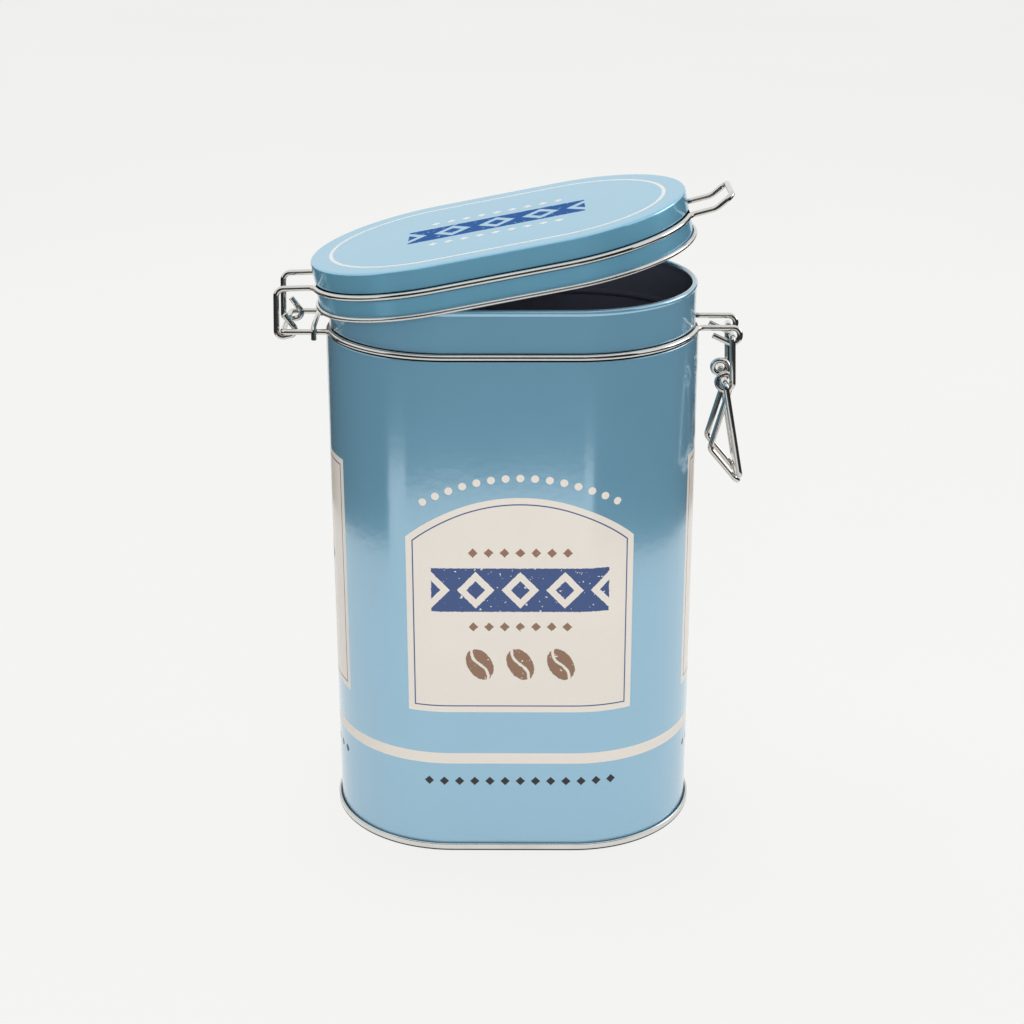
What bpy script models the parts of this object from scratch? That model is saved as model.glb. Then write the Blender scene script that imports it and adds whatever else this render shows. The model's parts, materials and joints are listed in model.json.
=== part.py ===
# Clip-top tin canister.
# An obround tinplate tin with a seamed-on base.  The lid and the neck each hold a sprung wire in
# a rolled groove.  The wires hook together as a hinge at one end, and at the other end a lever
# and a bail pull the lid's wire down past their dead centre.
#
# Metres, +Z up.  The origin is the middle of the base.  The front faces -Y, the hinge is at -X
# and the latch at +X.  The lid stands ajar and the latch hangs open.
# A place across a wall is an offset from the body wall's outer face, and out is positive.

from math import acos, asin, atan2, ceil, cos, pi, radians, sin, sqrt, tan

import bmesh
import bpy
import numpy as np
from mathutils import Vector

# Body
BODY_LENGTH = 0.1150
BODY_DEPTH = 0.0770
RIM_HEIGHT = 0.1781
SHEET = 0.0003
NECK_STEP = 0.0011
LIP_DIAMETER = 0.0018
LIP_PROUD = 0.0003
LIP_FILLET = 0.0008
LIP_END_ANGLE = radians(250)

# Base, joined to the body by a seam that stands proud of the wall
SEAM_HEIGHT = 0.0024
SEAM_PROUD = 0.00106
SEAM_EDGE_RADIUS = 0.0004
PANEL_HEIGHT = 0.0030
PANEL_CORNER_RADIUS = 0.0010
PANEL_STEP = 0.0006
PANEL_STEP_WIDTH = 0.0008
PANEL_STEP_INSET = 0.0070

# Wires, and the rolled grooves that hold them
WIRE_DIAMETER = 0.0018
SEAT_GAP = 0.00025
GROOVE_FILLET = 0.0005
BODY_GROOVE_DROP = 0.01395
BODY_WIRE_SINK = 0.0003
BAND_BEND_RADIUS = 0.0025

# Lid
LID_HEIGHT = 0.0146
LID_ENGAGE = 0.0104
LID_SKIRT_PROUD = 0.0005
LID_WALL_PROUD = 0.0003
LID_SHOULDER_RADIUS = 0.0007
LID_GROOVE_HEIGHT = 0.0075
LID_GROOVE_CLEARANCE = 0.0004
HEM_DIAMETER = 0.0015
HEM_END_ANGLE = radians(460)
GASKET_WIDTH = 0.0034
GASKET_CORNER_RADIUS = 0.0006
LID_AJAR_ANGLE = radians(11.1)

# Hinge: the body wire's loop with its tie, and the lid wire's hooks round the loop's end
HINGE_REACH = 0.0121
HINGE_ROD_SPACING = 0.0236
HINGE_CORNER_RADIUS = 0.0015
HOOK_SIDE_GAP = 0.0004
HOOK_RISE = 0.0019
HOOK_LEAN = radians(13)
HOOK_SHOULDER_RADIUS = 0.0025
HOOK_CLEARANCE = 0.0003
HOOK_WIDTH = 0.0072
HOOK_CORNER_RADIUS = 0.0019
HOOK_TAIL = 0.0076
HOOK_TAIL_ANGLE = radians(25)
TIE_DIAMETER = 0.0016
TIE_REACH = 0.0025
TIE_LEG = 0.0020

# Latch: the body wire's eyes, the lever, the bail and the lid wire's ear
EYE_REACH = 0.0097
EYE_RADIUS = 0.0024
EYE_SPACING = 0.0138
EYE_TAIL = 0.0054
EYE_TAIL_ANGLE = radians(25)
EAR_SPACING = 0.0176
EAR_LEG = 0.0079
EAR_LEG_ANGLE = radians(3.6)
EAR_TIP = 0.0062
EAR_TIP_ANGLE = radians(29.5)
EAR_BEND_RADIUS = 0.0055
EAR_CORNER_RADIUS = 0.0022
LATCH_SIDE_GAP = 0.0004
PIN_OVERHANG = 0.0011
PIN_BEND_RADIUS = 0.0013
LEVER_HANG_ANGLE = radians(2.2)
LEVER_BAR = 0.0142
LEVER_COIL_RADIUS = 0.00235
LEVER_COIL_GAP = 0.00065
LEVER_HANDLE = 0.0224
LEVER_HANDLE_ANGLE = radians(17.7)
LEVER_TIP = 0.0145
LEVER_TIP_ANGLE = radians(37.4)
LEVER_BEND_RADIUS = 0.0022
LEVER_CORNER_RADIUS = 0.0022
BAIL_LENGTH = 0.0306
BAIL_CORNER_RADIUS = 0.0022

# Gap between pieces that seat on each other, and between a wire and what it hooks
FIT_GAP = 0.0003

# How finely round shapes are divided
END_STEPS = 20
SHEET_ARC_STEP = radians(40)
WIRE_ARC_STEP = radians(26)
WIRE_BEVEL_STEPS = 2
SHARP_ANGLE = radians(50)
GAP_SAMPLE_STEP = 0.0004

# Places worked out from the sizes above
HALF_SHEET = SHEET / 2
WIRE_RADIUS = WIRE_DIAMETER / 2
GROOVE_RADIUS = WIRE_RADIUS + SEAT_GAP
END_RADIUS = BODY_DEPTH / 2
END_CENTRE = BODY_LENGTH / 2 - END_RADIUS

BODY_WIRE_OFFSET = -BODY_WIRE_SINK
BODY_WIRE_HEIGHT = RIM_HEIGHT - BODY_GROOVE_DROP

LIP_FACE = LIP_PROUD - NECK_STEP
HEM_HEIGHT = RIM_HEIGHT - LID_ENGAGE
ROOF_HEIGHT = HEM_HEIGHT + LID_HEIGHT
LID_WIRE_HEIGHT = HEM_HEIGHT + LID_GROOVE_HEIGHT
LID_WIRE_OFFSET = LIP_FACE + LID_GROOVE_CLEARANCE + SHEET + GROOVE_RADIUS

HINGE = Vector((-BODY_LENGTH / 2 - HINGE_REACH, 0, BODY_WIRE_HEIGHT))
ROD_Y = HINGE_ROD_SPACING / 2
HOOK_Y = ROD_Y - WIRE_DIAMETER - HOOK_SIDE_GAP

EYE_X = BODY_LENGTH / 2 + EYE_REACH
EYE_Y = EYE_SPACING / 2
EYE_Z = BODY_WIRE_HEIGHT - EYE_RADIUS
LEVER_PIVOT = Vector((EYE_X, 0, EYE_Z - EYE_RADIUS + WIRE_DIAMETER + FIT_GAP))
LEVER_Y = EYE_Y + WIRE_DIAMETER + LATCH_SIDE_GAP
COIL_SWEEP = 2 * pi + LEVER_HANDLE_ANGLE
HANDLE_Y = LEVER_Y - (WIRE_DIAMETER + LEVER_COIL_GAP) * COIL_SWEEP / (2 * pi)
COIL_CENTRE = Vector((-LEVER_COIL_RADIUS, 0, -LEVER_BAR))
BAIL_Y = LEVER_Y + WIRE_DIAMETER + LATCH_SIDE_GAP
EAR_Y = EAR_SPACING / 2


# Curves in a plane across the wall, and outlines round the tin

def arc(centre, radius, start, end, largest_step=SHEET_ARC_STEP):
    """Points on an arc, both ends included."""
    count = max(1, ceil(abs(end - start) / largest_step))
    angles = [start + (end - start) * step / count for step in range(count + 1)]
    return [(centre[0] + radius * cos(angle), centre[1] + radius * sin(angle)) for angle in angles]


def groove(centre, wall_below, wall_above):
    """The sheet's middle line up a wall, round a wire's groove and on up a second wall."""
    radius = GROOVE_RADIUS + HALF_SHEET
    reach = radius + GROOVE_FILLET
    below_x = wall_below - GROOVE_FILLET
    above_x = wall_above - GROOVE_FILLET
    below_z = centre[1] - sqrt(reach ** 2 - (centre[0] - below_x) ** 2)
    above_z = centre[1] + sqrt(reach ** 2 - (centre[0] - above_x) ** 2)
    below_turn = atan2(centre[1] - below_z, centre[0] - below_x)
    above_turn = atan2(centre[1] - above_z, centre[0] - above_x)
    lower_lip = arc((below_x, below_z), GROOVE_FILLET, 0, below_turn)
    floor = arc(centre, radius, below_turn + pi, above_turn + pi)
    upper_lip = arc((above_x, above_z), GROOVE_FILLET, above_turn, 0)
    return lower_lip + floor[1:-1] + upper_lip


def sheet_sides(path):
    """The two faces of a sheet whose middle line is the path: on its left and on its right."""
    left, right = [], []
    for index, (x, z) in enumerate(path):
        before = Vector(path[max(index - 1, 0)])
        after = Vector(path[min(index + 1, len(path) - 1)])
        into = (Vector((x, z)) - before).normalized()
        out = (after - Vector((x, z))).normalized()
        along = (into + out).normalized()
        straight = max(along.dot(into), along.dot(out))
        reach = HALF_SHEET / straight
        left.append((x - along.y * reach, z + along.x * reach))
        right.append((x + along.y * reach, z - along.x * reach))
    return left, right


def outline(offset, z):
    """The body's obround outline moved out by an offset, at a height."""
    radius = END_RADIUS + offset
    points = []
    for side in (1, -1):
        for step in range(END_STEPS + 1):
            angle = -pi / 2 + pi * step / END_STEPS
            points.append(Vector((side * (END_CENTRE + radius * cos(angle)), side * radius * sin(angle), z)))
    return points


# Building objects

def metal(name, colour, roughness):
    """A metal with a colour and a roughness."""
    material = bpy.data.materials.new(name)
    material.use_nodes = True
    shader = material.node_tree.nodes["Principled BSDF"]
    shader.inputs["Base Color"].default_value = (*colour, 1)
    shader.inputs["Metallic"].default_value = 1
    shader.inputs["Roughness"].default_value = roughness
    return material


def coating(name, colour, roughness):
    """A coat of lacquer, or a rubber, with a colour and a roughness."""
    material = metal(name, colour, roughness)
    material.node_tree.nodes["Principled BSDF"].inputs["Metallic"].default_value = 0
    return material


def place(name, data, material, parent=None):
    """Put mesh or curve data in the scene as an object, in its parent's frame."""
    data.materials.append(material)
    item = bpy.data.objects.new(name, data)
    item.parent = parent
    bpy.context.scene.collection.objects.link(item)
    return item


def pivot(name, location, angle, parent=None):
    """An empty on a joint's axis along Y, turned by an angle that lifts its +X side."""
    empty = bpy.data.objects.new(name, None)
    empty.location = location
    empty.rotation_euler = (0, -angle, 0)
    empty.parent = parent
    bpy.context.scene.collection.objects.link(empty)
    return empty


def pressing(name, section, material, closed, parent=None, origin=Vector()):
    """A shell that follows the tin's outline, from a section given as offsets and heights.

    A closed section makes a ring.  An open one starts and ends on flat panels right across."""
    shell = bmesh.new()
    rows = [[shell.verts.new(point - origin) for point in outline(*spot)] for spot in section]
    following = rows[1:] + rows[:1] if closed else rows[1:]
    for row, next_row in zip(rows, following):
        for index in range(len(row)):
            shell.faces.new((row[index - 1], row[index], next_row[index], next_row[index - 1]))
    if not closed:
        shell.faces.new(rows[0])
        shell.faces.new(rows[-1])
    bmesh.ops.recalc_face_normals(shell, faces=shell.faces)
    mesh = bpy.data.meshes.new(name)
    shell.to_mesh(mesh)
    shell.free()
    mesh.shade_smooth()
    mesh.set_sharp_from_angle(angle=SHARP_ANGLE)
    return place(name, mesh, material, parent)


def bend(corners):
    """A wire's route through corners, each given as a point and the radius it is bent on."""
    route = [corners[0][0]]
    for (before, _), (corner, radius), (after, _) in zip(corners, corners[1:], corners[2:]):
        if radius == 0:
            route.append(corner)
            continue
        into = (corner - before).normalized()
        out = (after - corner).normalized()
        turn = into.angle(out)
        start = corner - into * radius * tan(turn / 2)
        inward = (out - into * into.dot(out)).normalized()
        centre = start + inward * radius
        steps = ceil(turn / WIRE_ARC_STEP)
        for step in range(steps + 1):
            angle = turn * step / steps
            route.append(centre + into * radius * sin(angle) - inward * radius * cos(angle))
    route.append(corners[-1][0])
    return route


def wire(name, corners, diameter, material, parent=None):
    """One bent wire with cut ends.  It prints the least gap that the wire leaves to itself."""
    route = bend(corners)
    print(name, "least gap to itself, mm:", round(least_gap(route, diameter) * 1000, 2))
    curve = bpy.data.curves.new(name, "CURVE")
    curve.dimensions = "3D"
    curve.bevel_depth = diameter / 2
    curve.bevel_resolution = WIRE_BEVEL_STEPS
    curve.use_fill_caps = True
    spline = curve.splines.new("POLY")
    spline.points.add(len(route) - 1)
    for point, spot in zip(spline.points, route):
        point.co = (*spot, 1)
    spline.use_smooth = True
    return place(name, curve, material, parent)


def least_gap(route, diameter):
    """The least gap between stretches of a wire that lie more than a tight turn apart along it."""
    samples, travelled, total = [], [], 0
    for start, end in zip(route, route[1:]):
        length = (end - start).length
        count = max(1, ceil(length / GAP_SAMPLE_STEP))
        for step in range(count):
            samples.append(start.lerp(end, step / count))
            travelled.append(total + length * step / count)
        total += length
    spots = np.array(samples)
    along = np.array(travelled)
    apart = np.linalg.norm(spots[:, None] - spots[None], axis=2)
    apart[np.abs(along[:, None] - along[None]) < pi * diameter] = total
    return apart.min() - diameter


def other_side(corners):
    """The same corners at the tin's other side, in the opposite order."""
    return [(Vector((point.x, -point.y, point.z)), radius) for point, radius in reversed(corners)]


def half_band(offset, z, latch_y, hinge_y):
    """The front half of a wire band, from its turn out at the latch to its turn out at the hinge."""
    radius = END_RADIUS + offset
    latch_angle = -asin(latch_y / radius)
    hinge_angle = asin(hinge_y / radius) - pi
    clear = BAND_BEND_RADIUS / radius
    step = pi / END_STEPS
    corners = [(Vector((END_CENTRE + radius * cos(latch_angle), -latch_y, z)), BAND_BEND_RADIUS)]
    for side, first, last in ((1, 0, END_STEPS // 2), (-1, END_STEPS // 2, END_STEPS)):
        for index in range(first, last + 1):
            angle = -index * step
            if hinge_angle + clear < angle < latch_angle - clear:
                spot = Vector((side * END_CENTRE + radius * cos(angle), radius * sin(angle), z))
                corners.append((spot, 0))
    corners.append((Vector((-END_CENTRE + radius * cos(hinge_angle), -hinge_y, z)), BAND_BEND_RADIUS))
    return corners


# The pieces

def build_body_shell(material):
    """The body: a wall with the wire's groove, a neck above it and a lip curled inwards."""
    wall = -HALF_SHEET
    neck = -NECK_STEP - HALF_SHEET
    edge = 2 * SHEET + FIT_GAP
    lip_radius = LIP_DIAMETER / 2 - HALF_SHEET
    lip = (LIP_FACE - LIP_DIAMETER / 2, RIM_HEIGHT - LIP_DIAMETER / 2)
    fillet_x = neck + LIP_FILLET
    fillet_z = lip[1] - sqrt((lip_radius + LIP_FILLET) ** 2 - (fillet_x - lip[0]) ** 2)
    fillet_end = atan2(lip[1] - fillet_z, lip[0] - fillet_x)
    path = [(wall, edge)]
    path += groove((BODY_WIRE_OFFSET, BODY_WIRE_HEIGHT), wall, neck)
    path += arc((fillet_x, fillet_z), LIP_FILLET, pi, fillet_end)
    path += arc(lip, lip_radius, fillet_end - pi, LIP_END_ANGLE)[1:]
    inside, outside = sheet_sides(path)
    pressing("body_shell", inside + outside[::-1], material, closed=True)


def build_base_plate(material):
    """The base: a stepped panel, a wall up inside the body's and a seam round the body's edge."""
    chuck_inside = -2 * SHEET - FIT_GAP
    chuck_outside = chuck_inside + SHEET
    channel_floor = 2 * SHEET
    seam_radius = (SEAM_PROUD - FIT_GAP) / 2
    outer_radius = PANEL_CORNER_RADIUS
    inner_radius = PANEL_CORNER_RADIUS - SHEET
    underside = PANEL_HEIGHT - SHEET
    step_in = -PANEL_STEP_INSET - PANEL_STEP_WIDTH
    section = [(step_in, PANEL_HEIGHT + PANEL_STEP), (-PANEL_STEP_INSET, PANEL_HEIGHT)]
    section += arc((chuck_outside - outer_radius, PANEL_HEIGHT - outer_radius), outer_radius, pi / 2, 0)
    section += [(chuck_outside, channel_floor), (FIT_GAP, channel_floor)]
    section += arc((FIT_GAP + seam_radius, SEAM_HEIGHT - seam_radius), seam_radius, pi, 0)
    section += arc((SEAM_PROUD - SEAM_EDGE_RADIUS, SEAM_EDGE_RADIUS), SEAM_EDGE_RADIUS, 0, -pi / 2)
    section += arc((chuck_inside + SHEET, SHEET), SHEET, 3 * pi / 2, pi)
    section += arc((chuck_inside - inner_radius, underside - inner_radius), inner_radius, 0, pi / 2)
    section += [(-PANEL_STEP_INSET, underside), (step_in, underside + PANEL_STEP)]
    pressing("base_plate", section, material, closed=False)


def build_lid_shell(material, parent):
    """The lid: a flat roof, a wall with the wire's groove and a hem curled outwards."""
    skirt = LID_SKIRT_PROUD - HALF_SHEET
    wall = LID_WALL_PROUD - HALF_SHEET
    hem_radius = HEM_DIAMETER / 2 - HALF_SHEET
    hem = (skirt + hem_radius, HEM_HEIGHT + HEM_DIAMETER / 2)
    shoulder_radius = LID_SHOULDER_RADIUS - HALF_SHEET
    shoulder = (wall - shoulder_radius, ROOF_HEIGHT - LID_SHOULDER_RADIUS)
    path = arc(hem, hem_radius, HEM_END_ANGLE, pi)
    path += groove((LID_WIRE_OFFSET, LID_WIRE_HEIGHT), skirt, wall)
    path += arc(shoulder, shoulder_radius, 0, pi / 2)
    inside, outside = sheet_sides(path)
    pressing("lid_shell", inside[::-1] + outside, material, False, parent, HINGE)


def build_lid_gasket(material, parent):
    """The sealing ring, under the roof and against the lid's wall."""
    top = ROOF_HEIGHT - SHEET - FIT_GAP
    bottom = RIM_HEIGHT + FIT_GAP
    outside = LID_WALL_PROUD - SHEET - FIT_GAP
    inside = outside - GASKET_WIDTH
    radius = GASKET_CORNER_RADIUS
    section = []
    for x, z, start in (
        (outside - radius, top - radius, 0),
        (inside + radius, top - radius, pi / 2),
        (inside + radius, bottom + radius, pi),
        (outside - radius, bottom + radius, 3 * pi / 2),
    ):
        section += arc((x, z), radius, start, start + pi / 2, pi / 4)
    pressing("lid_gasket", section, material, True, parent, HINGE)


def build_body_wire(material):
    """The body's wire: an eye, the band with the hinge loop at its far end, and the other eye."""
    eye = arc((EYE_X, EYE_Z), EYE_RADIUS, -pi / 2 - EYE_TAIL_ANGLE, pi / 2, WIRE_ARC_STEP)
    tail_x = eye[0][0] - EYE_TAIL * cos(EYE_TAIL_ANGLE)
    tail_z = eye[0][1] + EYE_TAIL * sin(EYE_TAIL_ANGLE)
    half = [(Vector((x, -EYE_Y, z)), 0) for x, z in [(tail_x, tail_z)] + eye]
    half += half_band(BODY_WIRE_OFFSET, BODY_WIRE_HEIGHT, EYE_Y, ROD_Y)
    half.append((HINGE - Vector((0, ROD_Y, 0)), HINGE_CORNER_RADIUS))
    wire("body_wire", half + other_side(half), WIRE_DIAMETER, material)


def build_hinge_tie(material):
    """A wire staple across the hinge rods, with its ends bent down outside them."""
    x = -BODY_LENGTH / 2 - TIE_REACH
    hold = WIRE_RADIUS + FIT_GAP + TIE_DIAMETER / 2
    end = Vector((x, -ROD_Y - hold, BODY_WIRE_HEIGHT - TIE_LEG))
    corner = Vector((x, -ROD_Y - hold, BODY_WIRE_HEIGHT + hold))
    half = [(end, 0), (corner, hold)]
    wire("hinge_tie", half + other_side(half), TIE_DIAMETER, material)


def build_lid_wire(material, parent):
    """The lid's wire: a hook, half the band, the ear, the other half and the other hook."""
    band = half_band(LID_WIRE_OFFSET, LID_WIRE_HEIGHT, EAR_Y, HOOK_Y)
    ear_foot = band[0][0]
    ear_bend = ear_foot + EAR_LEG * Vector((cos(EAR_LEG_ANGLE), 0, sin(EAR_LEG_ANGLE)))
    ear_tip = ear_bend + EAR_TIP * Vector((cos(EAR_TIP_ANGLE), 0, sin(EAR_TIP_ANGLE)))
    seat = WIRE_DIAMETER + HOOK_CLEARANCE
    down = Vector((-sin(HOOK_LEAN), 0, -cos(HOOK_LEAN)))
    beside = HINGE + Vector((-seat / cos(HOOK_LEAN), -HOOK_Y, 0))
    shoulder_height = LID_WIRE_HEIGHT + HOOK_RISE - HINGE.z
    shoulder = beside + down * shoulder_height / down.z
    corner = beside - down * seat / down.z
    heel = corner + Vector((HOOK_WIDTH, 0, 0))
    tail = heel + HOOK_TAIL * Vector((-sin(HOOK_TAIL_ANGLE), 0, cos(HOOK_TAIL_ANGLE)))
    half = [(ear_tip, EAR_CORNER_RADIUS), (ear_bend, EAR_BEND_RADIUS)] + band
    half += [(shoulder, HOOK_SHOULDER_RADIUS), (corner, HOOK_CORNER_RADIUS)]
    half += [(heel, HOOK_CORNER_RADIUS), (tail, 0)]
    corners = [(point - HINGE, radius) for point, radius in other_side(half) + half]
    wire("lid_wire", corners, WIRE_DIAMETER, material, parent)


def build_latch_lever(material, parent):
    """The lever: pins in through the eyes, bars, one full coil on each side, and the handle."""
    pin_end = Vector((0, -EYE_Y + WIRE_RADIUS + PIN_OVERHANG, 0))
    half = [(pin_end, 0), (Vector((0, -LEVER_Y, 0)), PIN_BEND_RADIUS)]
    steps = ceil(COIL_SWEEP / WIRE_ARC_STEP)
    for step in range(steps + 1):
        angle = COIL_SWEEP * step / steps
        y = -LEVER_Y + (LEVER_Y - HANDLE_Y) * step / steps
        x = COIL_CENTRE.x + LEVER_COIL_RADIUS * cos(angle)
        z = COIL_CENTRE.z - LEVER_COIL_RADIUS * sin(angle)
        half.append((Vector((x, y, z)), 0))
    bend_point, tip = handle_points()
    half += [(bend_point, LEVER_BEND_RADIUS), (tip, LEVER_CORNER_RADIUS)]
    wire("latch_lever", half + other_side(half), WIRE_DIAMETER, material, parent)


def handle_points():
    """The front bend and the front tip corner of the lever's handle, in the lever's frame."""
    angle = LEVER_HANDLE_ANGLE
    start = COIL_CENTRE + LEVER_COIL_RADIUS * Vector((cos(angle), 0, -sin(angle)))
    start.y = -HANDLE_Y
    bend_point = start + LEVER_HANDLE * Vector((-sin(angle), 0, -cos(angle)))
    tip = bend_point + LEVER_TIP * Vector((sin(LEVER_TIP_ANGLE), 0, -cos(LEVER_TIP_ANGLE)))
    return bend_point, tip


def bail_rest_angle():
    """The angle from the lever's bars at which the bail's cross bar lies on the handle's tip."""
    bend_point, tip = handle_points()
    run = (tip - bend_point).normalized()
    to_coil = COIL_CENTRE - bend_point
    coil_height = to_coil.x * -run.z + to_coil.z * run.x
    drop = coil_height - WIRE_DIAMETER - FIT_GAP
    return acos(drop / BAIL_LENGTH) - atan2(-run.z, run.x)


def build_latch_bail(material, parent):
    """The bail: pins in through the lever's coils, two legs and a cross bar."""
    pin_end = Vector((0, -HANDLE_Y + WIRE_RADIUS + PIN_OVERHANG, 0))
    half = [(pin_end, 0), (Vector((0, -BAIL_Y, 0)), PIN_BEND_RADIUS)]
    half.append((Vector((0, -BAIL_Y, -BAIL_LENGTH)), BAIL_CORNER_RADIUS))
    wire("latch_bail", half + other_side(half), WIRE_DIAMETER, material, parent)


def build():
    """Clear the scene and build the canister."""
    for item in list(bpy.data.objects):
        bpy.data.objects.remove(item, do_unlink=True)

    print_blue = coating("printed_blue", (0.21, 0.38, 0.50), 0.25)
    lid_blue = coating("printed_pale_blue", (0.43, 0.68, 0.81), 0.25)
    bare_tin = metal("bare_tinplate", (0.60, 0.60, 0.60), 0.30)
    silicone = coating("silicone", (0.75, 0.75, 0.73), 0.60)
    bright_wire = metal("bright_wire", (0.58, 0.57, 0.55), 0.15)

    build_body_shell(print_blue)
    build_base_plate(bare_tin)
    build_body_wire(bright_wire)
    build_hinge_tie(bright_wire)

    lid_frame = pivot("lid_frame", HINGE, LID_AJAR_ANGLE)
    build_lid_shell(lid_blue, lid_frame)
    build_lid_gasket(silicone, lid_frame)
    build_lid_wire(bright_wire, lid_frame)

    lever_frame = pivot("lever_frame", LEVER_PIVOT, LEVER_HANG_ANGLE)
    build_latch_lever(bright_wire, lever_frame)

    bail_frame = pivot("bail_frame", COIL_CENTRE, bail_rest_angle(), lever_frame)
    build_latch_bail(bright_wire, bail_frame)


build()
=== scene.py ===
"""The looks of the clip-top tin canister.

Each of the nine CAD pieces is made again here with the same sizes and finer divisions, and gets
its printed, tinned, plated or rubber surface.  A pale studio goes round them.
"""

import json
from math import acos, asin, atan2, ceil, cos, pi, radians, sin, sqrt, tan

import bpy
from mathutils import Matrix, Vector


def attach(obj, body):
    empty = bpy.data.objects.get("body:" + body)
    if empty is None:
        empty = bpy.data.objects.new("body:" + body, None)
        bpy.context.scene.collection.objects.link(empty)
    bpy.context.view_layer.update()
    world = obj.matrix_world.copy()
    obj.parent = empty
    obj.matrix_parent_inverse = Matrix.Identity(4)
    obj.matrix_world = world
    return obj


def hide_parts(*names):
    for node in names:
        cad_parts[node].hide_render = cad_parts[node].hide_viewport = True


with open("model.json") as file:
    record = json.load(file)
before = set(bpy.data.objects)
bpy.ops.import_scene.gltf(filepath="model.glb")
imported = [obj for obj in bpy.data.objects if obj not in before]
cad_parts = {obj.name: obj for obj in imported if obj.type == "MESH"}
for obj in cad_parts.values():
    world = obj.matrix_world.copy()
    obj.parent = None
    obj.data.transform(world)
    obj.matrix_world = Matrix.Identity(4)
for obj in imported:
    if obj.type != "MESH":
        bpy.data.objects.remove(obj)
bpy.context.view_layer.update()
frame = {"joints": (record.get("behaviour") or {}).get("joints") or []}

# Sizes of the tin, in metres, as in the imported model
BODY_LENGTH = 0.1150
BODY_DEPTH = 0.0770
RIM_HEIGHT = 0.1781
SHEET = 0.0003
NECK_STEP = 0.0011
LIP_DIAMETER = 0.0018
LIP_PROUD = 0.0003
LIP_FILLET = 0.0008
LIP_END_ANGLE = radians(250)
SEAM_HEIGHT = 0.0024
SEAM_PROUD = 0.00106
SEAM_EDGE_RADIUS = 0.0004
PANEL_HEIGHT = 0.0030
PANEL_CORNER_RADIUS = 0.0010
PANEL_STEP = 0.0006
PANEL_STEP_WIDTH = 0.0008
PANEL_STEP_INSET = 0.0070
FIT_GAP = 0.0003

# Sizes of the lid
LID_HEIGHT = 0.0146
LID_ENGAGE = 0.0104
LID_SKIRT_PROUD = 0.0005
LID_WALL_PROUD = 0.0003
LID_SHOULDER_RADIUS = 0.0007
LID_GROOVE_HEIGHT = 0.0075
LID_GROOVE_CLEARANCE = 0.0004
HEM_DIAMETER = 0.0015
HEM_END_ANGLE = radians(460)
GASKET_WIDTH = 0.0034
GASKET_CORNER_RADIUS = 0.0006
LID_AJAR_ANGLE = radians(11.1)

# Sizes of the wires
WIRE_DIAMETER = 0.0018
SEAT_GAP = 0.00025
GROOVE_FILLET = 0.0005
BODY_WIRE_SINK = 0.0003
BAND_BEND_RADIUS = 0.0025
HINGE_ROD_SPACING = 0.0236
HINGE_CORNER_RADIUS = 0.0015
HOOK_SIDE_GAP = 0.0004
HOOK_RISE = 0.0019
HOOK_LEAN = radians(13)
HOOK_SHOULDER_RADIUS = 0.0025
HOOK_CLEARANCE = 0.0003
HOOK_WIDTH = 0.0072
HOOK_CORNER_RADIUS = 0.0019
HOOK_TAIL = 0.0076
HOOK_TAIL_ANGLE = radians(25)
TIE_DIAMETER = 0.0016
TIE_REACH = 0.0025
TIE_LEG = 0.0020
EYE_RADIUS = 0.0024
EYE_SPACING = 0.0138
EYE_TAIL = 0.0054
EYE_TAIL_ANGLE = radians(25)
EAR_SPACING = 0.0176
EAR_LEG = 0.0079
EAR_LEG_ANGLE = radians(3.6)
EAR_TIP = 0.0062
EAR_TIP_ANGLE = radians(29.5)
EAR_BEND_RADIUS = 0.0055
EAR_CORNER_RADIUS = 0.0022
LATCH_SIDE_GAP = 0.0004
PIN_OVERHANG = 0.0011
PIN_BEND_RADIUS = 0.0013
LEVER_HANG_ANGLE = radians(2.2)
LEVER_BAR = 0.0142
LEVER_COIL_RADIUS = 0.00235
LEVER_COIL_GAP = 0.00065
LEVER_HANDLE = 0.0224
LEVER_HANDLE_ANGLE = radians(17.7)
LEVER_TIP = 0.0145
LEVER_TIP_ANGLE = radians(37.4)
LEVER_BEND_RADIUS = 0.0022
LEVER_CORNER_RADIUS = 0.0022
BAIL_LENGTH = 0.0306
BAIL_CORNER_RADIUS = 0.0022

# Places worked out from the sizes, and the joints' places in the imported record
PIVOTS = {joint["name"]: Vector(joint["pos_m"]) for joint in frame["joints"]}
HINGE = PIVOTS["lid_hinge"]
LEVER_PIVOT = PIVOTS["lever_hinge"]
HALF_SHEET = SHEET / 2
WIRE_RADIUS = WIRE_DIAMETER / 2
GROOVE_RADIUS = WIRE_RADIUS + SEAT_GAP
END_RADIUS = BODY_DEPTH / 2
END_CENTRE = BODY_LENGTH / 2 - END_RADIUS
GIRTH = 4 * END_CENTRE + 2 * pi * END_RADIUS
BODY_WIRE_OFFSET = -BODY_WIRE_SINK
BODY_WIRE_HEIGHT = HINGE.z
LIP_FACE = LIP_PROUD - NECK_STEP
HEM_HEIGHT = RIM_HEIGHT - LID_ENGAGE
ROOF_HEIGHT = HEM_HEIGHT + LID_HEIGHT
LID_WIRE_HEIGHT = HEM_HEIGHT + LID_GROOVE_HEIGHT
LID_WIRE_OFFSET = LIP_FACE + LID_GROOVE_CLEARANCE + SHEET + GROOVE_RADIUS
ROD_Y = HINGE_ROD_SPACING / 2
HOOK_Y = ROD_Y - WIRE_DIAMETER - HOOK_SIDE_GAP
EYE_Y = EYE_SPACING / 2
EYE_Z = BODY_WIRE_HEIGHT - EYE_RADIUS
LEVER_Y = EYE_Y + WIRE_DIAMETER + LATCH_SIDE_GAP
COIL_SWEEP = 2 * pi + LEVER_HANDLE_ANGLE
HANDLE_Y = LEVER_Y - (WIRE_DIAMETER + LEVER_COIL_GAP) * COIL_SWEEP / (2 * pi)
COIL_CENTRE = Vector((-LEVER_COIL_RADIUS, 0, -LEVER_BAR))
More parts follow.
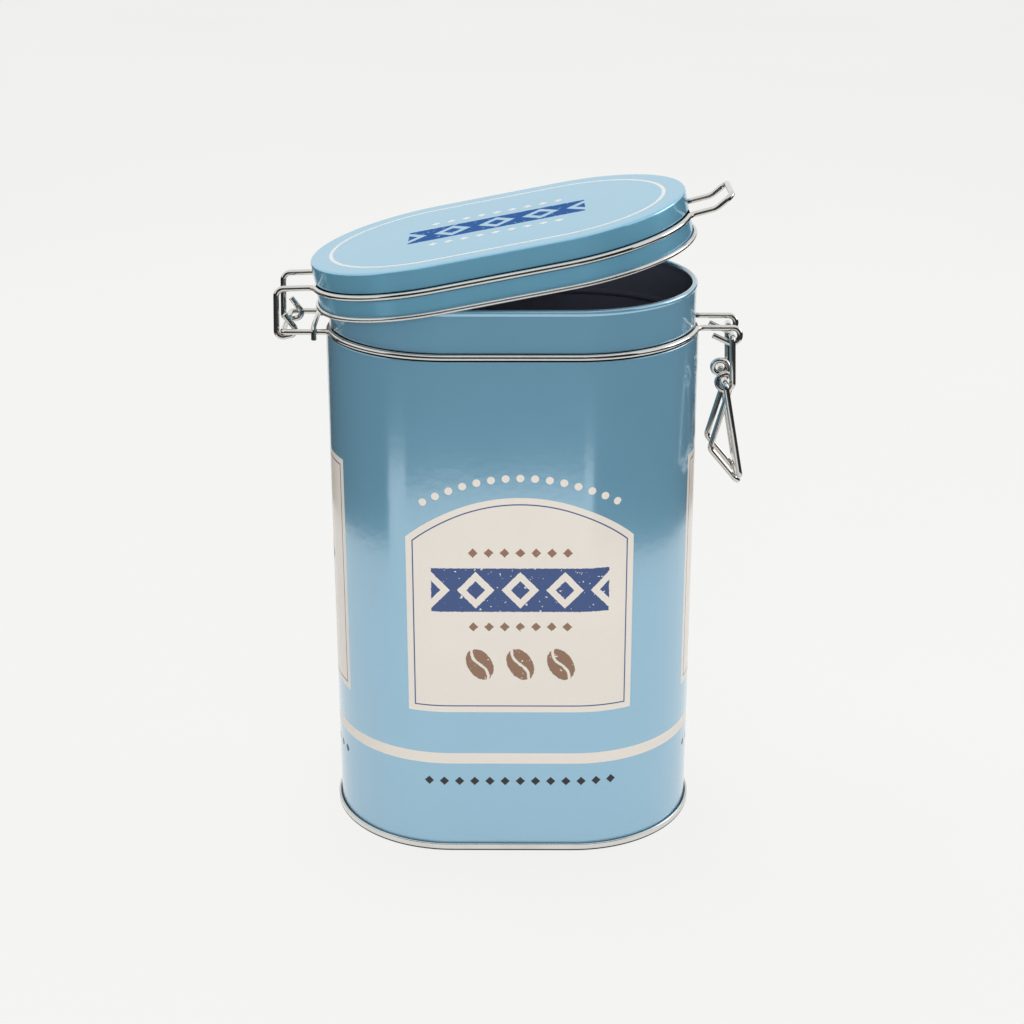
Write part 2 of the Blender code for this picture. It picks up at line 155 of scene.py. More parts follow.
BAIL_Y = LEVER_Y + WIRE_DIAMETER + LATCH_SIDE_GAP
EAR_Y = EAR_SPACING / 2

# How finely round shapes are divided
END_STEPS = 60
SHEET_ARC_STEP = radians(12)
WIRE_ARC_STEP = radians(6)
WIRE_SIDES = 24
CUT_BEVEL = 0.00016
SUPPORT_INSET = 0.0004
SHARP_ANGLE = radians(40)

# The print: its place round the tin is a distance along the wall from the middle of the front.
# Shares are of the band's half height or of the bean's half width.
PRINT_SHIFT = 0.0026
LABEL_HALF_WIDTH = 0.0351
LABEL_BOTTOM = 0.0490
LABEL_SPRING = 0.1072
LABEL_TOP = 0.1206
LABEL_RISE = LABEL_TOP - LABEL_SPRING
LABEL_RADIUS = (LABEL_HALF_WIDTH ** 2 + LABEL_RISE ** 2) / (2 * LABEL_RISE)
LABEL_ARCH_CENTRE = LABEL_TOP - LABEL_RADIUS
END_LABEL_HALF_WIDTH = 0.0185
END_LABEL_BOTTOM = 0.0474
END_LABEL_TOP = 0.1260
STRIPE_BOTTOM = 0.0309
STRIPE_TOP = 0.0346
FRAME_INSET = 0.0022
FRAME_LINE = 0.0004
BAND_HALF_LENGTH = 0.0272
BAND_HALF_HEIGHT = 0.0072
BAND_HEIGHT = 0.0905
BAND_PITCH = 0.0136
OPEN_DIAMOND_SHARE = 0.84
DARK_DIAMOND_SHARE = 0.42
BEAN_HEIGHT = 0.0655
BEAN_PITCH = 0.0125
BEAN_COUNT = 3
BEAN_HALF_LENGTH = 0.0056
BEAN_HALF_WIDTH = 0.0038
BEAN_LEAN = radians(28)
SLIT_BEND_SHARE = 0.22
SLIT_WIDTH_SHARE = 0.12
DOT_ARC_RISE = 0.0062
DOT_SPACING = 0.0044
DOT_RADIUS = 0.0012
DOT_ARC_REACH = radians(31)
SMALL_DIAMOND = 0.0015
DIAMOND_PITCH = 0.0048
DIAMOND_ROW_HEIGHT = 0.0247
BAND_ROW_DIAMONDS = 7
FOOT_ROW_DIAMONDS = 13
END_ROW_DIAMONDS = 7
LID_ROW_DIAMONDS = 9
BODY_ROW_SHARE = 1.7
LID_ROW_SHARE = 1.8
OVAL_INSET = 0.0062
OVAL_LINE = 0.0011
PRINT_EDGE = 0.00012
STAMP_RAGGED = 0.0007
SPECK_SLOPE = 0.012
SPECK_LEVEL = 0.0080
# How far the painted shade in a wire's groove reaches, and the stretch it fades over
GROOVE_REACH = 0.00155
GROOVE_FADE = 0.0003
# How high the painted shade on the foot's lower edge reaches, and the stretch it fades over
FOOT_SHADE_HEIGHT = 0.0007
FOOT_SHADE_FADE = 0.00015

# Colours, as 8-bit screen values
INK_BLUE = (127, 183, 213)
LID_BLUE = (126, 194, 226)
CREAM = (240, 232, 223)
LID_WHITE = (252, 253, 253)
NAVY = (54, 80, 134)
LID_NAVY = (66, 108, 174)
BROWN = (146, 112, 88)
BLACK_INK = (24, 26, 34)
# Painted shade, laid down in the wire grooves and on the foot's lower edge
PAINTED_SHADE = (10, 12, 15)
TINPLATE = (236, 235, 232)
LACQUER = (134, 140, 162)
CHROME = (230, 228, 224)
SILICONE = (226, 226, 220)
STUDIO = (249, 249, 247)

# Noises: the scale, whose steps are a metre over it, the detail and the roughness
INK_CLOUD = (26, 3, 0.55)
INK_FINE = (1400, 2, 0.6)
INK_WAVE = (17, 1, 0.4)
INK_PEEL = (420, 2, 0.5)
INK_SMEAR = (60, 4, 0.6)
STAMP_EDGE = (900, 3, 0.6)
STAMP_SPECKS = (650, 2, 0.7)
METAL_CLOUD = (45, 4, 0.6)
METAL_MARKS = (1, 3, 0.6)
LACQUER_CLOUD = (30, 3, 0.5)
LACQUER_PEEL = (500, 2, 0.5)
RUBBER_CLOUD = (70, 4, 0.6)
RUBBER_GRAIN = (2500, 2, 0.5)
PAPER_GRAIN = (3, 3, 0.5)
ROOM_GRAIN = (4, 2, 0.5)

# How many steps a metal's marks make to each unit of its print map, along it and across
TIN_BRUSHED = (60, 4000, 1)
CHROME_BRUSHED = (300, 30, 1)

# Bumps: strength and distance
WAVE_BUMP = (0.5, 0.0009)
PEEL_BUMP = (0.15, 0.00012)
SCRATCH_BUMP = (0.12, 0.00003)
LACQUER_BUMP = (0.1, 0.0001)
RUBBER_BUMP = (0.2, 0.00004)

# Ranges that a noise moves a value over
CLOUD_TONE = (-0.035, 0.035)
FINE_TONE = (0.975, 1.025)
INK_ROUGHNESS = (0.17, 0.27)
TIN_ROUGHNESS = (0.16, 0.30)
CHROME_ROUGHNESS = (0.06, 0.14)
MARKS_ROUGHNESS = (-0.03, 0.03)
LACQUER_ROUGHNESS = (0.30, 0.40)
RUBBER_ROUGHNESS = (0.45, 0.62)

# How dark a cloudy place is, as a share of the colour
METAL_SHADE = 0.86
LACQUER_SHADE = 0.8
RUBBER_SHADE = 0.93

# Other values of the shaders
BODY_TIN_SHARE = 0.3
LID_TIN_SHARE = 0.42
VARNISH_ROUGHNESS = 0.13
VARNISH_IOR = 2.5
LACQUER_SHINE = 0.15
RUBBER_SCATTER = 0.25
RUBBER_SCATTER_DEPTH = 0.002


# Shapes

def arc(centre, radius, start, end, largest_step=SHEET_ARC_STEP):
    """Points on an arc, both ends included."""
    count = max(1, ceil(abs(end - start) / largest_step))
    angles = [start + (end - start) * step / count for step in range(count + 1)]
    return [(centre[0] + radius * cos(angle), centre[1] + radius * sin(angle)) for angle in angles]


def groove(centre, wall_below, wall_above):
    """The sheet's middle line up a wall, round a wire's groove and on up a second wall."""
    radius = GROOVE_RADIUS + HALF_SHEET
    reach = radius + GROOVE_FILLET
    below_x = wall_below - GROOVE_FILLET
    above_x = wall_above - GROOVE_FILLET
    below_z = centre[1] - sqrt(reach ** 2 - (centre[0] - below_x) ** 2)
    above_z = centre[1] + sqrt(reach ** 2 - (centre[0] - above_x) ** 2)
    below_turn = atan2(centre[1] - below_z, centre[0] - below_x)
    above_turn = atan2(centre[1] - above_z, centre[0] - above_x)
    lower_lip = arc((below_x, below_z), GROOVE_FILLET, 0, below_turn)
    floor = arc(centre, radius, below_turn + pi, above_turn + pi)
    upper_lip = arc((above_x, above_z), GROOVE_FILLET, above_turn, 0)
    return lower_lip + floor[1:-1] + upper_lip


def supported(path):
    """The path with two more points on each long straight run, which keep its shading straight."""
    points = [path[0]]
    for start, end in zip(path, path[1:]):
        run = Vector(end) - Vector(start)
        if run.length > 3 * SUPPORT_INSET:
            inset = run.normalized() * SUPPORT_INSET
            points += [tuple(Vector(start) + inset), tuple(Vector(end) - inset)]
        points.append(end)
    return points


def sheet_sides(path):
    """The two faces of a sheet whose middle line is the path: on its left and on its right."""
    left, right = [], []
    for index, (x, z) in enumerate(path):
        before = Vector(path[max(index - 1, 0)])
        after = Vector(path[min(index + 1, len(path) - 1)])
        into = (Vector((x, z)) - before).normalized()
        out = (after - Vector((x, z))).normalized()
        along = (into + out).normalized()
        reach = HALF_SHEET / max(along.dot(into), along.dot(out))
        left.append((x - along.y * reach, z + along.x * reach))
        right.append((x + along.y * reach, z - along.x * reach))
    return left, right


def columns():
    """Where the tin's outline is divided: a centre's x, the way out from it, and the distance round."""
    spots = []
    for side, travelled in ((1, END_CENTRE), (-1, 3 * END_CENTRE + pi * END_RADIUS)):
        for step in range(END_STEPS + 1):
            angle = pi * step / END_STEPS
            way_out = Vector((side * sin(angle), -side * cos(angle), 0))
            spots.append((side * END_CENTRE, way_out, travelled + END_RADIUS * angle))
    return spots


def pressing(name, faces, finishes, closed, placing=Matrix(), flat_print=False):
    """A shell that follows the tin's outline.

    Each face is a finish's number and a run of offsets and heights.  The print map holds the
    distance round the tin and the height, or the place seen from above where it is flat_print.
    The section map holds the offset and height."""
    section = [(number, spot) for number, run in faces for spot in run]
    ring = columns()
    points, prints, polygons, numbers = [], [], [], []
    for _, (offset, z) in section:
        for centre_x, way_out, travelled in ring:
            point = way_out * (END_RADIUS + offset) + Vector((centre_x, 0, z))
            points.append(placing @ point)
            prints.append((point.x, point.y) if flat_print else (travelled, z))
    count = len(ring)
    rows = len(section) if closed else len(section) - 1
    for row in range(rows):
        low = row * count
        high = (row + 1) % len(section) * count
        for column in range(count):
            following = (column + 1) % count
            polygons.append((low + column, low + following, high + following, high + column))
            numbers.append(section[row][0])
    if not closed:
        last = (len(section) - 1) * count
        polygons += [tuple(reversed(range(count))), tuple(range(last, last + count))]
        numbers += [section[0][0], section[-1][0]]
    mesh = bpy.data.meshes.new(name)
    mesh.from_pydata(points, [], polygons)
    layer = mesh.uv_layers.new(name="print")
    cut = mesh.uv_layers.new(name="section")
    for polygon, number in zip(mesh.polygons, numbers):
        polygon.material_index = number
        for place, loop in enumerate(polygon.loop_indices):
            vertex = mesh.loops[loop].vertex_index
            u, v = prints[vertex]
            # The last column runs on to the first one's points, a whole girth further round.
            closes = not flat_print and polygon.vertices[1] % count == 0 and place in (1, 2)
            layer.data[loop].uv = (u + GIRTH * closes, v)
            cut.data[loop].uv = section[vertex // count][1]
    mesh.shade_smooth()
    mesh.set_sharp_from_angle(angle=SHARP_ANGLE)
    return piece(name, mesh, finishes)


def piece(name, mesh, finishes):
    """Puts a mesh in the scene with its materials."""
    item = bpy.data.objects.new(name, mesh)
    for finish in finishes:
        mesh.materials.append(finish)
    bpy.context.scene.collection.objects.link(item)
    return item


def bend(corners):
    """A wire's route through corners, each given as a point and the radius it is bent on."""
    route = [corners[0][0]]
    for (before, _), (corner, radius), (after, _) in zip(corners, corners[1:], corners[2:]):
        if radius == 0:
            route.append(corner)
            continue
        into = (corner - before).normalized()
        out = (after - corner).normalized()
        turn = into.angle(out)
        start = corner - into * radius * tan(turn / 2)
        inward = (out - into * into.dot(out)).normalized()
        centre = start + inward * radius
        steps = ceil(turn / WIRE_ARC_STEP)
        for step in range(steps + 1):
            angle = turn * step / steps
            route.append(centre + into * radius * sin(angle) - inward * radius * cos(angle))
    route.append(corners[-1][0])
    return route


def wire(name, corners, diameter, finish, placing=Matrix()):
    """One bent wire with slightly bevelled cut ends.  Its print map runs along the wire and round it."""
    route = bend([(placing @ point, radius) for point, radius in corners])
    first = (route[1] - route[0]).normalized() * CUT_BEVEL
    last = (route[-2] - route[-1]).normalized() * CUT_BEVEL
    route = [route[0], route[0] + first] + route[1:-1] + [route[-1] + last, route[-1]]
    cut_share = 1 - 2 * CUT_BEVEL / diameter
    shares = [cut_share] + [1] * (len(route) - 2) + [cut_share]
    across = (route[1] - route[0]).orthogonal().normalized()
    points, prints, travelled = [], [], 0
    for index, (spot, share) in enumerate(zip(route, shares)):
        before = route[max(index - 1, 0)]
        after = route[min(index + 1, len(route) - 1)]
        along = ((spot - before).normalized() + (after - spot).normalized()).normalized()
        across = (across - along * across.dot(along)).normalized()
        aside = along.cross(across)
        travelled += (spot - before).length
        for side in range(WIRE_SIDES):
            angle = 2 * pi * side / WIRE_SIDES
            points.append(spot + (across * cos(angle) + aside * sin(angle)) * share * diameter / 2)
            prints.append((travelled, side / WIRE_SIDES))
    polygons = []
    for row in range(len(route) - 1):
        for side in range(WIRE_SIDES):
            following = (side + 1) % WIRE_SIDES
            low, high = row * WIRE_SIDES, (row + 1) * WIRE_SIDES
            polygons.append((low + side, low + following, high + following, high + side))
    last = (len(route) - 1) * WIRE_SIDES
    polygons += [tuple(reversed(range(WIRE_SIDES))), tuple(range(last, last + WIRE_SIDES))]
    mesh = bpy.data.meshes.new(name)
    mesh.from_pydata(points, [], polygons)
    layer = mesh.uv_layers.new(name="print")
    for polygon in mesh.polygons:
        for place, loop in enumerate(polygon.loop_indices):
            u, v = prints[mesh.loops[loop].vertex_index]
            # The last side runs on to the first one's points, a whole turn further round.
            closes = polygon.vertices[1] % WIRE_SIDES == 0 and place in (1, 2)
            layer.data[loop].uv = (u, v + closes)
    mesh.shade_smooth()
    mesh.set_sharp_from_angle(angle=SHARP_ANGLE)
    return piece(name, mesh, [finish])


def other_side(corners):
    """The same corners at the tin's other side, in the opposite order."""
    return [(Vector((point.x, -point.y, point.z)), radius) for point, radius in reversed(corners)]


def half_band(offset, z, latch_y, hinge_y):
    """The front half of a wire band, from its turn out at the latch to its turn out at the hinge."""
    radius = END_RADIUS + offset
    latch_angle = -asin(latch_y / radius)
    hinge_angle = asin(hinge_y / radius) - pi
    clear = BAND_BEND_RADIUS / radius
    step = pi / END_STEPS
    corners = [(Vector((END_CENTRE + radius * cos(latch_angle), -latch_y, z)), BAND_BEND_RADIUS)]
    for side, first, last in ((1, 0, END_STEPS // 2), (-1, END_STEPS // 2, END_STEPS)):
        for index in range(first, last + 1):
            angle = -index * step
            if hinge_angle + clear < angle < latch_angle - clear:
                spot = Vector((side * END_CENTRE + radius * cos(angle), radius * sin(angle), z))
                corners.append((spot, 0))
    corners.append((Vector((-END_CENTRE + radius * cos(hinge_angle), -hinge_y, z)), BAND_BEND_RADIUS))
    return corners


# Materials

def screen(colour):
    """A colour given in 8-bit screen values, as the linear values that a shader takes.

    The numbers are those of the sRGB curve."""
    shares = [value / 255 for value in colour]
    linear = [share / 12.92 if share <= 0.04045 else ((share + 0.055) / 1.055) ** 2.4 for share in shares]
    return (*linear, 1)


class Finish:
    """A node material, with short calls for the sums that draw on it."""

    def __init__(self, name):
        self.material = bpy.data.materials.new(name)
        self.material.use_nodes = True
        self.tree = self.material.node_tree
        self.shader = self.tree.nodes["Principled BSDF"]

    def node(self, kind, **settings):
        made = self.tree.nodes.new(kind)
        for name, value in settings.items():
            setattr(made, name, value)
        return made

    def put(self, socket, value):
        """Sets a socket to a number or colour, or links it."""
        if isinstance(value, bpy.types.NodeSocket):
            self.tree.links.new(value, socket)
        else:
            socket.default_value = value

    def set(self, **values):
        """Sets the shader's sockets by name, with _ for a space."""
        for name, value in values.items():
            self.put(self.shader.inputs[name.replace("_", " ")], value)

    def sum(self, operation, *values):
        made = self.node("ShaderNodeMath", operation=operation)
        for socket, value in zip(made.inputs, values):
            self.put(socket, value)
        return made.outputs[0]

    def most(self, *values):
        found = values[0]
        for value in values[1:]:
            found = self.sum("MAXIMUM", found, value)
        return found

    def least(self, *values):
        found = values[0]
        for value in values[1:]:
            found = self.sum("MINIMUM", found, value)
        return found

    def spread(self, value, low, high):
        """Takes a value from 0 to 1 to a range."""
        return self.sum("MULTIPLY_ADD", value, high - low, low)

    def print_place(self, uv_map="print"):
        """The two numbers of a map."""
        made = self.node("ShaderNodeUVMap", uv_map=uv_map)
        split = self.node("ShaderNodeSeparateXYZ")
        self.put(split.inputs[0], made.outputs[0])
        return split.outputs[0], split.outputs[1]

    def grain(self, scale, detail, roughness, stretch=None, on_print=False):
        """Noise from 0 to 1, in steps of a metre over scale."""
        if on_print:
            place = self.node("ShaderNodeUVMap", uv_map="print").outputs[0]
        else:
            place = self.node("ShaderNodeTexCoord").outputs["Object"]
        if stretch:
            mapping = self.node("ShaderNodeMapping")
            mapping.inputs["Scale"].default_value = stretch
            self.put(mapping.inputs["Vector"], place)
            place = mapping.outputs[0]
        made = self.node("ShaderNodeTexNoise")
        self.put(made.inputs["Vector"], place)
        made.inputs["Scale"].default_value = scale
        made.inputs["Detail"].default_value = detail
        made.inputs["Roughness"].default_value = roughness
        return made.outputs[0]

    def inside(self, distance):
        """1 where a distance from an edge is below zero, and 0 where it is above."""
        return self.sum("MULTIPLY_ADD", distance, -1 / PRINT_EDGE, 0.5)

    def clamped(self, value):
        made = self.node("ShaderNodeClamp")
        self.put(made.inputs[0], value)
        return made.outputs[0]

    def paint(self, below, over, share):
        """One colour over another where a share is 1.  Sockets 6 and 7 are the node's two colours."""
        made = self.node("ShaderNodeMix", data_type="RGBA", clamp_factor=True)
        for socket, value in zip((made.inputs[0], made.inputs[6], made.inputs[7]), (share, below, over)):
            self.put(socket, value)
        return made.outputs[2]

    def cloudy(self, colour, shade, cloud):
        """A colour that goes down to a share of itself where the cloud is thick."""
        return self.paint(screen(colour), screen([value * shade for value in colour]), cloud)

    def fading(self, distance, reach, fade):
        """1 near by, which falls over a stretch to 0 at a reach."""
        return self.clamped(self.sum("MULTIPLY_ADD", distance, -1 / fade, reach / fade))

    def bump(self, height, strength, distance, below=None):
        made = self.node("ShaderNodeBump")
        made.inputs["Strength"].default_value = strength
        made.inputs["Distance"].default_value = distance
        self.put(made.inputs["Height"], height)
        if below:
            self.put(made.inputs["Normal"], below)
        return made.outputs[0]

    # Figures of the print.  Each gives a distance: below zero inside, above zero outside.

    def size_of(self, value):
        return self.sum("ABSOLUTE", value)

    def from_centre(self, value, centre):
        return self.sum("SUBTRACT", value, centre)

    def box(self, x, y, half_width, half_height):
        wide = self.sum("SUBTRACT", self.size_of(x), half_width)
        high = self.sum("SUBTRACT", self.size_of(y), half_height)
        return self.most(wide, high)

    def length(self, x, y):
        squares = self.sum("MULTIPLY_ADD", x, x, self.sum("MULTIPLY", y, y))
        return self.sum("SQRT", squares)

    def line(self, distance, inset, width):
        """A line of a width along a figure's edge, inset from it."""
        middle = self.sum("ADD", distance, inset)
        return self.sum("SUBTRACT", self.size_of(middle), width / 2)

    def repeat(self, value, pitch):
        return self.sum("WRAP", value, pitch / 2, -pitch / 2)

    def label(self, x, z):
        """A panel with straight sides and a low arch on top."""
        above = self.sum("MAXIMUM", self.from_centre(z, LABEL_ARCH_CENTRE), 0)
        arch = self.sum("SUBTRACT", self.length(x, above), LABEL_RADIUS)
        sides = self.sum("SUBTRACT", self.size_of(x), LABEL_HALF_WIDTH)
        foot = self.sum("SUBTRACT", LABEL_BOTTOM, z)
        return self.most(arch, sides, foot)

    def diamond(self, x, y, half_width, slope=1.0):
        leaning = self.sum("MULTIPLY_ADD", self.size_of(x), slope, self.size_of(y))
        return self.sum("SUBTRACT", leaning, half_width)

    def diamond_row(self, x, y, count):
        each = self.diamond(self.repeat(x, DIAMOND_PITCH), y, SMALL_DIAMOND)
        return self.most(each, self.sum("SUBTRACT", self.size_of(x), DIAMOND_PITCH * (count / 2)))

    def tile_band(self, x, y):
        """A dark band with a row of open diamonds, and a small dark diamond in each."""
        cell = self.repeat(x, BAND_PITCH)
        slope = BAND_HALF_HEIGHT / (BAND_PITCH / 2)
        outer = self.diamond(cell, y, BAND_HALF_HEIGHT * OPEN_DIAMOND_SHARE, slope)
        inner = self.diamond(cell, y, BAND_HALF_HEIGHT * DARK_DIAMOND_SHARE, slope)
        band = self.box(x, y, BAND_HALF_LENGTH, BAND_HALF_HEIGHT)
        opened = self.most(band, self.sum("MULTIPLY", outer, -1))
        held = self.most(inner, self.sum("SUBTRACT", self.size_of(x), BAND_HALF_LENGTH))
        return self.least(opened, held)

    def bean_row(self, x, y):
        """A row of leaning beans, each with a curved slit."""
        cell = self.repeat(x, BEAN_PITCH)
        lean_x = self.sum("MULTIPLY_ADD", cell, cos(BEAN_LEAN), self.sum("MULTIPLY", y, sin(BEAN_LEAN)))
        lean_y = self.sum("MULTIPLY_ADD", cell, -sin(BEAN_LEAN), self.sum("MULTIPLY", y, cos(BEAN_LEAN)))
        squeezed = self.sum("MULTIPLY", lean_y, BEAN_HALF_WIDTH / BEAN_HALF_LENGTH)
        bean = self.sum("SUBTRACT", self.length(lean_x, squeezed), BEAN_HALF_WIDTH)
        turn = self.sum("SINE", self.sum("MULTIPLY", lean_y, pi / BEAN_HALF_LENGTH))
        slit_x = self.sum("MULTIPLY_ADD", turn, BEAN_HALF_WIDTH * SLIT_BEND_SHARE, lean_x)
        slit = self.sum("SUBTRACT", BEAN_HALF_WIDTH * SLIT_WIDTH_SHARE, self.size_of(slit_x))
        ends = self.sum("SUBTRACT", self.size_of(x), BEAN_COUNT / 2 * BEAN_PITCH)
        return self.most(bean, slit, ends)

    def dot_arc(self, x, z):
        """A row of dots that runs over the label's arch."""
        up = self.from_centre(z, LABEL_ARCH_CENTRE)
        reach = LABEL_RADIUS + DOT_ARC_RISE
        turn = self.sum("ARCTAN2", x, up)
        along = self.repeat(self.sum("MULTIPLY", turn, reach), DOT_SPACING)
        away = self.sum("SUBTRACT", self.length(x, up), reach)
        dots = self.sum("SUBTRACT", self.length(along, away), DOT_RADIUS)
        ends = self.sum("MULTIPLY", self.sum("SUBTRACT", self.size_of(turn), DOT_ARC_REACH), reach)
        return self.most(dots, ends)

    def groove_shade_share(self, offset, height):
        """Painted shade: 1 down in the groove of a wire with its centre there, and 0 out on the wall."""
        x, z = self.print_place("section")
        away = self.length(self.from_centre(x, offset), self.from_centre(z, height))
        return self.fading(away, GROOVE_REACH, GROOVE_FADE)

    def worn(self, distance):
        """A figure with the rough edges and small bare specks of a stamped print."""
        rough = self.sum("SUBTRACT", self.grain(*STAMP_EDGE, on_print=True), 0.5)
        ragged = self.sum("MULTIPLY_ADD", rough, STAMP_RAGGED, distance)
        spots = self.grain(*STAMP_SPECKS, on_print=True)
        specks = self.sum("MULTIPLY_ADD", spots, SPECK_SLOPE, -SPECK_LEVEL)
        return self.most(ragged, specks)


def printed(finish, colour, opaque, tin_share, varnish, opaque_varnish, shine):
    """Gives a finish its ink under clear varnish, with small unevenness in colour, shine and flatness.

    The blue ink lets some of the tin's own shine through; the figures are opaque."""
    cloud = finish.grain(*INK_CLOUD)
    fine = finish.grain(*INK_FINE)
    tone = finish.sum("ADD", finish.spread(cloud, *CLOUD_TONE), finish.spread(fine, *FINE_TONE))
    toned = finish.node("ShaderNodeVectorMath", operation="SCALE")
    finish.put(toned.inputs[0], colour)
    finish.put(toned.inputs[3], tone)
    wave = finish.bump(finish.grain(*INK_WAVE), *WAVE_BUMP)
    peel = finish.bump(finish.grain(*INK_PEEL), *PEEL_BUMP, wave)
    finish.set(
        Base_Color=toned.outputs[0],
        Metallic=finish.spread(opaque, tin_share, 0.0),
        Specular_IOR_Level=shine,
        Roughness=finish.spread(finish.grain(*INK_SMEAR), *INK_ROUGHNESS),
        Normal=peel,
        Coat_Weight=finish.spread(opaque, varnish, opaque_varnish),
        Coat_Roughness=VARNISH_ROUGHNESS,
        Coat_IOR=VARNISH_IOR,
        Coat_Normal=peel,
    )
    return finish.material


def body_print():
    """The body: blue ink, a stripe, arched labels front and back, and smaller labels at the ends."""
    finish = Finish("body_print")
    u, z = finish.print_place()
    x = finish.repeat(finish.from_centre(u, PRINT_SHIFT), GIRTH / 2)
    end_x = finish.repeat(finish.from_centre(u, PRINT_SHIFT + GIRTH / 4), GIRTH / 2)
    middle = (END_LABEL_TOP + END_LABEL_BOTTOM) / 2
    half_height = (END_LABEL_TOP - END_LABEL_BOTTOM) / 2
    label = finish.label(x, z)
    end_label = finish.box(end_x, finish.from_centre(z, middle), END_LABEL_HALF_WIDTH, half_height)
    stripe_y = finish.from_centre(z, (STRIPE_TOP + STRIPE_BOTTOM) / 2)
    stripe = finish.sum("SUBTRACT", finish.size_of(stripe_y), (STRIPE_TOP - STRIPE_BOTTOM) / 2)
    dots = finish.dot_arc(x, z)
    pale = finish.least(label, end_label, stripe, dots)
    frames = finish.least(
        finish.line(label, FRAME_INSET, FRAME_LINE), finish.line(end_label, FRAME_INSET, FRAME_LINE)
    )
    band = finish.tile_band(x, finish.from_centre(z, BAND_HEIGHT))
    end_band = finish.diamond(end_x, finish.from_centre(z, BAND_HEIGHT), BAND_HALF_HEIGHT)
    beans = finish.bean_row(x, finish.from_centre(z, BEAN_HEIGHT))
    heights = [BAND_HEIGHT + side * BAND_HALF_HEIGHT * BODY_ROW_SHARE for side in (1, -1)]
    rows = [finish.from_centre(z, height) for height in heights]
    brown_rows = [finish.diamond_row(x, row, BAND_ROW_DIAMONDS) for row in rows]
    low = finish.from_centre(z, DIAMOND_ROW_HEIGHT)
    dark = finish.least(
        finish.diamond_row(x, low, FOOT_ROW_DIAMONDS), finish.diamond_row(end_x, low, END_ROW_DIAMONDS)
    )
    pale_share = finish.inside(pale)
    colour = finish.paint(screen(INK_BLUE), screen(CREAM), pale_share)
    navy_share = finish.inside(finish.least(frames, finish.worn(finish.least(band, end_band))))
    colour = finish.paint(colour, screen(NAVY), navy_share)
    brown_share = finish.inside(finish.worn(finish.least(beans, *brown_rows)))
    colour = finish.paint(colour, screen(BROWN), brown_share)
    dark_share = finish.inside(dark)
    colour = finish.paint(colour, screen(BLACK_INK), dark_share)
    # Painted shade down in the band wire's groove
    groove_shade_share = finish.groove_shade_share(BODY_WIRE_OFFSET, BODY_WIRE_HEIGHT)
    colour = finish.paint(colour, screen(PAINTED_SHADE), groove_shade_share)
    opaque = finish.clamped(finish.most(pale_share, dark_share, groove_shade_share))
    return printed(finish, colour, opaque, BODY_TIN_SHARE, varnish=1.0, opaque_varnish=0.22, shine=0.1)


def lid_print():
    """The lid: pale blue ink, a thin oval line and a patterned band."""
    finish = Finish("lid_print")
    x, y = finish.print_place()
    beyond = finish.sum("MAXIMUM", finish.sum("SUBTRACT", finish.size_of(x), END_CENTRE), 0)
    edge = finish.sum("SUBTRACT", finish.length(beyond, y), END_RADIUS)
    oval = finish.line(edge, OVAL_INSET, OVAL_LINE)
    rows = [finish.from_centre(y, side * BAND_HALF_HEIGHT * LID_ROW_SHARE) for side in (1, -1)]
    pale = finish.least(oval, *[finish.diamond_row(x, row, LID_ROW_DIAMONDS) for row in rows])
    pale_share = finish.inside(pale)
    navy_share = finish.inside(finish.worn(finish.tile_band(x, y)))
    colour = finish.paint(screen(LID_BLUE), screen(LID_WHITE), pale_share)
    colour = finish.paint(colour, screen(LID_NAVY), navy_share)
    # Painted shade down in the lid wire's groove
    groove_shade_share = finish.groove_shade_share(LID_WIRE_OFFSET, LID_WIRE_HEIGHT)
    colour = finish.paint(colour, screen(PAINTED_SHADE), groove_shade_share)
    opaque = finish.clamped(finish.most(pale_share, navy_share, groove_shade_share))
    return printed(finish, colour, opaque, LID_TIN_SHARE, varnish=0.75, opaque_varnish=0.0, shine=0.0)


def bare_metal(name, colour, roughness, brushed, foot=False):
    """Bright metal with fine marks along the print map's first direction.  A foot's lower edge has painted
    shade, dark and without shine.
    """
    finish = Finish(name)
    cloud = finish.grain(*METAL_CLOUD)
    marks = finish.grain(*METAL_MARKS, stretch=brushed, on_print=True)
    dull = finish.cloudy(colour, METAL_SHADE, cloud)
    metal_share = 1.0
    if foot:
        # Painted shade: the seam's lowest edge goes dark and loses its metal shine, standing in for the
        # shadow where the foot meets the floor
        height = finish.print_place("section")[1]
        painted_foot_shade = finish.fading(height, FOOT_SHADE_HEIGHT, FOOT_SHADE_FADE)
        dull = finish.paint(dull, screen(PAINTED_SHADE), painted_foot_shade)
        metal_share = finish.spread(painted_foot_shade, 1.0, 0.0)
    rough = finish.sum("ADD", finish.spread(cloud, *roughness), finish.spread(marks, *MARKS_ROUGHNESS))
    scratch = finish.bump(marks, *SCRATCH_BUMP)
    finish.set(Base_Color=dull, Metallic=metal_share, Roughness=rough, Normal=scratch)
    return finish.material


def inside_lacquer():
    """The unprinted inner face of the sheet under clear lacquer."""
    finish = Finish("inside_lacquer")
    cloud = finish.grain(*LACQUER_CLOUD)
    finish.set(
        Base_Color=finish.cloudy(LACQUER, LACQUER_SHADE, cloud),
        Specular_IOR_Level=LACQUER_SHINE,
        Roughness=finish.spread(cloud, *LACQUER_ROUGHNESS),
        Normal=finish.bump(finish.grain(*LACQUER_PEEL), *LACQUER_BUMP),
    )
    return finish.material


def silicone():
    """Soft, slightly dusty translucent rubber."""
    finish = Finish("silicone")
    cloud = finish.grain(*RUBBER_CLOUD)
    finish.set(
        Base_Color=finish.cloudy(SILICONE, RUBBER_SHADE, cloud),
        Roughness=finish.spread(cloud, *RUBBER_ROUGHNESS),
        Normal=finish.bump(finish.grain(*RUBBER_GRAIN), *RUBBER_BUMP),
        Subsurface_Weight=RUBBER_SCATTER,
        Subsurface_Scale=RUBBER_SCATTER_DEPTH,
    )
    return finish.material


# The pieces

